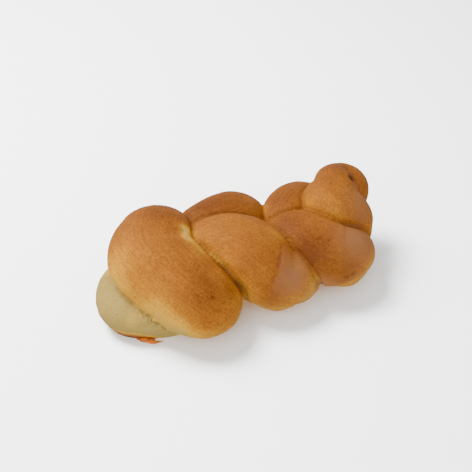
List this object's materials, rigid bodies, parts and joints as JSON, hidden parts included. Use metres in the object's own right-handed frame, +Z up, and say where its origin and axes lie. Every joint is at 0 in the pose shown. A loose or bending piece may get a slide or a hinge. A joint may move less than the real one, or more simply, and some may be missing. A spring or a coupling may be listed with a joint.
{
  "type": "braided bread roll",
  "caption": "Oblong baked roll plaited from fat strands of dough that have grown together, with a pale folded end and a curled knob at the other end, flat underneath.",
  "frame": {"origin": "middle of the roll's bounding box, on the plane that it rests on", "axes": "+X along the roll, towards the curled knob; -Y the side on which the strands come outwards over the top in the picture; +Z up"},
  "size_m": [0.137, 0.0736, 0.0433],
  "materials": {
    "crust": "soft baked crust, satin where it is browned"
  },
  "bodies": {
    "root": {"roll": "crust"}
  },
  "joints": []
}
